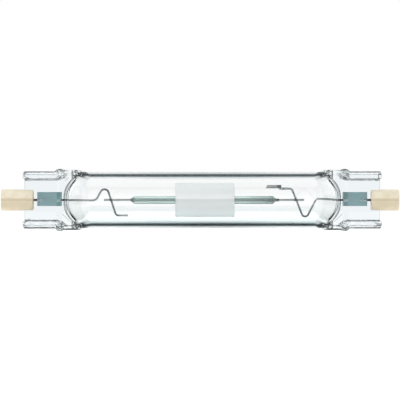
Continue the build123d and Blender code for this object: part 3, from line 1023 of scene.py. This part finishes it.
def cap_profile(end):
    """Round the cap's section, as (distance, radius, power), where a higher power is more square."""
    round_power = 2.0
    blunt_power = 2.6
    recess_radius = 2.3
    recess_depth = 2.7
    seat_radius = 2.03
    seat_depth = 3.2
    lead_bore = 0.5
    hollow_radius = 1.5
    hollow_depth = 4.7
    soft = {"left": 0.6, "right": 0.2}[end]
    back = CAP_FACE + CAP_LENGTHS[end]
    rims = rounded(CAP_FACE, CAP_RADIUS, soft, towards=-1)[::-1] + rounded(back, CAP_RADIUS, 0.45)
    inside = [
        (back, recess_radius + 0.1), (back - 0.1, recess_radius), (back - recess_depth, recess_radius),
        (back - recess_depth, seat_radius), (back - seat_depth, seat_radius), (back - seat_depth, lead_bore),
        (back - hollow_depth, lead_bore), (back - hollow_depth, hollow_radius)]
    profile = [(CAP_FACE, hollow_radius, round_power)]
    profile += [(distance, radius, blunt_power) for distance, radius in rims]
    profile += [(distance, radius, round_power) for distance, radius in inside]
    return profile


def cap_plan(end):
    """The cap without its slot: a blunt square-shouldered outside, round recess, seat and bore inside."""
    steps = 72
    work = bmesh.new()
    rings = []
    for distance, radius, power in cap_profile(end):
        ring = []
        for step in range(steps):
            turn = 2 * pi * step / steps
            spread = (abs(cos(turn)) ** power + abs(sin(turn)) ** power) ** (1 / power)
            side = radius * cos(turn) / spread
            rise = radius * sin(turn) / spread
            ring.append(work.verts.new(((distance * ENDS[end] + BULB_CENTRE) * MM, side * MM, rise * MM)))
        rings.append(ring)
    join_rings(work, rings + rings[:1])
    bmesh.ops.recalc_face_normals(work, faces=work.faces)
    return finished_mesh(work, "cap_plan_" + end)


def cap_tree():
    """Cuts the slot in which the web of the pinch sits."""
    beyond_cap = 0.02
    tree, given = start_tree("slotted_cap", ["Slot width", "Slot middle", "Slot length"])
    size = made(
        tree, "ShaderNodeCombineXYZ", X=given["Slot length"], Y=given["Slot width"], Z=beyond_cap)
    spot = made(tree, "ShaderNodeCombineXYZ", X=given["Slot middle"])
    block = made(tree, "GeometryNodeMeshCube", Size=size)
    cutter = made(tree, "GeometryNodeTransform", Geometry=block, Translation=spot)
    cut = tree.nodes.new("GeometryNodeMeshBoolean")
    cut.operation = "DIFFERENCE"
    cut.solver = "EXACT"
    feed(tree, given["Plan"], cut.inputs["Mesh 1"])
    feed(tree, cutter, cut.inputs["Mesh 2"])
    end_tree(tree, out(cut, "Mesh"), (given["Finish"], True))
    return tree


def make_caps():
    slot_width = 3.0
    slot_depth = 3.45
    before_face = 1.0
    tree = cap_tree()
    for end in ENDS:
        middle = CAP_FACE + (slot_depth - before_face) / 2
        settings = {
            "Slot width": slot_width * MM,
            "Slot middle": (middle * ENDS[end] + BULB_CENTRE) * MM,
            "Slot length": (slot_depth + before_face) * MM,
            "Finish": FINISH["cap_ceramic"],
        }
        mesh = as_mesh("ceramic_cap_" + end, tree, settings, cap_plan(end))
        mesh.set_sharp_from_angle(angle=0.6)
        place("ceramic_cap_" + end, mesh, "cap_ceramic", "base_cap_" + end)


# Foils in the pinches.

def foil_tree():
    """A rolled strip with feathered edges, slightly wavy where the glass squeezed it."""
    tree, given = start_tree("rolled_foil", ["Start", "Length", "Height", "Lift", "Depth", "Thickness"])
    net, along_strip, up_strip = net_places(tree, 69, 29)
    x = (along_strip + 0.5) * given["Length"] + given["Start"]
    z = up_strip * given["Height"] + given["Lift"]
    lens = (up_strip * up_strip * -4.0 + 1.0).at_least(0.0)
    half = lens * along_strip.size().falls(0.49, 0.5) * given["Thickness"] * 0.5
    wave = jaw_ripple(tree, x * 1.3, z * 9.0) * 0.05
    sheets = []
    for side in (-1.0, 1.0):
        y = given["Depth"] + wave + half * side
        where = made(tree, "ShaderNodeCombineXYZ", X=x * MM, Y=y * MM, Z=z * MM)
        sheets.append(made(tree, "GeometryNodeSetPosition", Geometry=net, Position=where))
    both = joined(tree, sheets[0], made(tree, "GeometryNodeFlipFaces", Mesh=sheets[1]))
    closed = made(tree, "GeometryNodeMergeByDistance", Geometry=both, Distance=THIN_SEAM)
    end_tree(tree, closed, (given["Finish"], True))
    return tree


def make_foils():
    tree = foil_tree()
    for end, start in (("left", -56.225), ("right", 49.275)):
        settings = {
            "Start": start,
            "Length": 8.5,
            "Height": 4.8,
            "Lift": 0.33,
            "Depth": 0.325,
            "Thickness": 0.06,
            "Finish": FINISH["sealing_foil"],
        }
        mesh = as_mesh("rolled_foil_" + end, tree, settings)
        place("rolled_foil_" + end, mesh, "sealing_foil", "seal_foil_" + end)


# Windings in the arc tube.

def winding_tree():
    """Wire wound close round a core, from one end of its length to the other."""
    sizes = ["Start", "Length", "Turns", "Winding radius", "Wire diameter"]
    tree, given = start_tree("wound_wire", sizes, ["Steps in a turn", "Sides"])
    helix = made(
        tree, "GeometryNodeCurveSpiral", Resolution=given["Steps in a turn"], Rotations=given["Turns"],
        Start_Radius=given["Winding radius"], End_Radius=given["Winding radius"], Height=given["Length"])
    laid = made(
        tree, "GeometryNodeTransform", Geometry=sweep(tree, helix, given),
        Translation=made(tree, "ShaderNodeCombineXYZ", X=given["Start"]), Rotation=(0.0, pi / 2, 0.0))
    end_tree(tree, laid, (given["Finish"], True))
    return tree


def wind(tree, name, node, wire, pitch, core, steps, sides):
    """A winding as long as the solid that it stands for, and its core where that is one piece with it."""
    low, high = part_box(node)
    length = high.x - low.x - wire * MM
    settings = {
        "Start": low.x + wire * MM / 2,
        "Length": length,
        "Turns": length / (pitch * MM),
        "Winding radius": (high.z - low.z - wire * MM) / 2,
        "Wire diameter": wire * MM,
        "Steps in a turn": steps,
        "Sides": sides,
        "Finish": FINISH["tungsten"],
    }
    mesh = as_mesh(name, tree, settings)
    if core:
        start = low.x / MM
        end = high.x / MM
        profile = [(start, 0.0), (start, core), (end, core), (end, 0.0)]
        mesh = join_meshes(name, mesh, turned(name + "_core", profile, "tungsten", 16))
    place(name, mesh, "tungsten", node)


def make_windings():
    tree = winding_tree()
    for end in ENDS:
        wind(
            tree, "leg_winding_" + end, "molybdenum_coil_" + end,
            wire=0.2, pitch=0.24, core=0.25, steps=12, sides=6)
        wind(
            tree, "electrode_winding_" + end, "electrode_coil_" + end,
            wire=0.24, pitch=0.27, core=0.0, steps=20, sides=8)


def dress_solids():
    """The solids whose shape is right keep it, and get their finish."""
    slots = {
        "base_contact": "contact_metal", "base_cement": "cap_cement", "outer_lead": "lead_wire",
        "niobium_lead": "niobium", "frit_seal": "frit_glass", "arc_tube_plug": "alumina_white",
        "electrode_rod": "tungsten", "getter_strip": "getter_metal", "dose_pool": "salt"}
    for name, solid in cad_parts.items():
        kind = name.replace("_left", "").replace("_right", "")
        if kind in slots:
            for holder in solid.material_slots:
                holder.material = FINISH[slots[kind]]


# The stage.

def unscattered(path):
    """1 for light that no matt surface has scattered on its way, and 0 after that."""
    return out(path, "Diffuse Depth").at_most(1.0).remaining()


def floor_finish():
    """White from afar, with the shadow close by, and a painted dark strip, painted shade that shows only in
    and through glass and gives it dark edges.
    """
    finish, tree, shader = start_finish("pale_floor")
    set_plain(shader, Roughness=0.8, Specular_IOR_Level=0.1)
    spot = Spot(tree)
    far = (spot.x * spot.x + spot.y * spot.y).work("SQRT").eased(0.09, 0.16)
    path = tree.nodes.new("ShaderNodeLightPath")
    through = out(path, "Is Transmission Ray")
    mirrored = out(path, "Is Glossy Ray") * through.remaining()
    seen = (out(path, "Is Camera Ray") + through + mirrored).at_most(1.0)
    direct = unscattered(path)
    facing = out(tree.nodes.new("ShaderNodeLayerWeight"), "Facing")
    # Painted shade: a dark strip under the lamp and a band before it, seen only by rays through or off the
    # glass.
    beneath = (spot.y - 0.0006).size().falls(0.0038, 0.0055)
    before = spot.y.between(-0.06, -0.03, -0.001, 0.001)
    strip = beneath * through * facing.eased(0.04, 0.14) + before * mirrored * 0.7
    shade = strip * direct * facing.falls(0.5, 0.65) * spot.x.size().falls(0.066, 0.072)
    shown = (far * 0.65 + 0.35) * seen * shade.remaining()
    bounce = direct.remaining() * (through * 0.35 + 0.55)
    lift = add_node(tree, "ShaderNodeEmission", Strength=shown.at_least(bounce))
    grain = noise(tree, spot.whole, 30.0, 2.0)
    pale = ramp(tree, grain, (0.3, rgb(0.80, 0.80, 0.80)), (0.7, rgb(0.82, 0.82, 0.82)))
    plain = mixed(tree, far * seen, pale, rgb(0.0, 0.0, 0.0))
    feed(tree, mixed(tree, shade, plain, rgb(0.01, 0.022, 0.028)), shader.inputs["Base Color"])
    both = tree.nodes.new("ShaderNodeAddShader")
    tree.links.new(shader.outputs["BSDF"], both.inputs[0])
    tree.links.new(lift.outputs["Emission"], both.inputs[1])
    tree.links.new(both.outputs["Shader"], tree.nodes["Material Output"].inputs["Surface"])
    return finish


def make_floor():
    """A wide round floor, level with the lowest point of the lamp."""
    work = bmesh.new()
    bmesh.ops.create_circle(work, cap_ends=True, radius=2.5, segments=96)
    for corner in work.verts:
        corner.co.z = cad_low.z
    floor = bpy.data.objects.new("floor", finished_mesh(work, "floor", floor_finish()))
    bpy.context.scene.collection.objects.link(floor)


def make_room_light():
    """White round the horizon, where the glass looks through, and quiet above."""
    world = bpy.data.worlds.new("studio")
    bpy.context.scene.world = world
    world.use_nodes = True
    tree = world.node_tree
    where = tree.nodes.new("ShaderNodeTexCoord")
    split = add_node(tree, "ShaderNodeSeparateXYZ", Vector=out(where, "Generated"))
    steep = out(split, "Z").size()
    glassy = ramp(
        tree, steep, (0.35, rgb(1.0, 1.0, 1.0)), (0.5, rgb(0.025, 0.045, 0.05)),
        (0.80, rgb(0.04, 0.06, 0.065)), (0.96, rgb(0.5, 0.55, 0.56)))
    shiny = ramp(
        tree, steep, (0.15, rgb(0.95, 0.95, 0.95)), (0.5, rgb(0.5, 0.52, 0.52)),
        (0.95, rgb(0.5, 0.52, 0.52)))
    room = ramp(tree, steep, (0.1, rgb(0.33, 0.33, 0.33)), (0.9, rgb(0.62, 0.62, 0.62)))
    path = tree.nodes.new("ShaderNodeLightPath")
    direct = unscattered(path)
    through = out(path, "Is Transmission Ray") * direct
    mirrored = out(path, "Is Glossy Ray") * direct
    lit = mixed(tree, through, mixed(tree, mirrored, room, shiny), glassy)
    white = mixed(tree, out(path, "Is Camera Ray"), lit, rgb(1.0, 1.0, 1.0))
    feed(tree, white, tree.nodes["Background"].inputs["Color"])


def aim(thing):
    """Turns a light or the camera towards the middle of the lamp."""
    thing.rotation_euler = (Vector((0.0, 0.0, 0.0)) - thing.location).to_track_quat("-Z", "Y").to_euler()


def make_light(name, spot, size, power):
    """A soft panel that lights the lamp but isn't itself seen in or through its glass."""
    light = bpy.data.lights.new(name, "AREA")
    light.shape = "RECTANGLE"
    light.size, light.size_y = size
    light.energy = power
    panel = bpy.data.objects.new(name, light)
    panel.visible_transmission = False
    panel.visible_glossy = False
    panel.location = spot
    bpy.context.scene.collection.objects.link(panel)
    aim(panel)


def make_camera():
    """A long lens level with the lamp, its frame as wide as in the photograph."""
    distance = 1.5
    frame_width = 0.13828
    view = bpy.data.cameras.new("camera")
    view.sensor_width = 36.0
    view.lens = view.sensor_width * distance / frame_width
    view.clip_end = 20.0
    camera = bpy.data.objects.new("camera", view)
    camera.location = (0.0, -distance, 0.0)
    bpy.context.scene.collection.objects.link(camera)
    aim(camera)
    bpy.context.scene.camera = camera


make_envelope()
make_barrel()
for end in ENDS:
    make_leg(end)
make_bent_wires()
make_caps()
make_foils()
make_windings()
dress_solids()

make_floor()
make_room_light()
make_light("lamp_over_front", (-0.2, -0.35, 1.05), (1.0, 0.5), 8.6)
make_light("lamp_behind", (0.3, 0.7, 0.8), (1.0, 0.5), 3.0)
make_camera()
bpy.context.scene.view_settings.view_transform = "Standard"
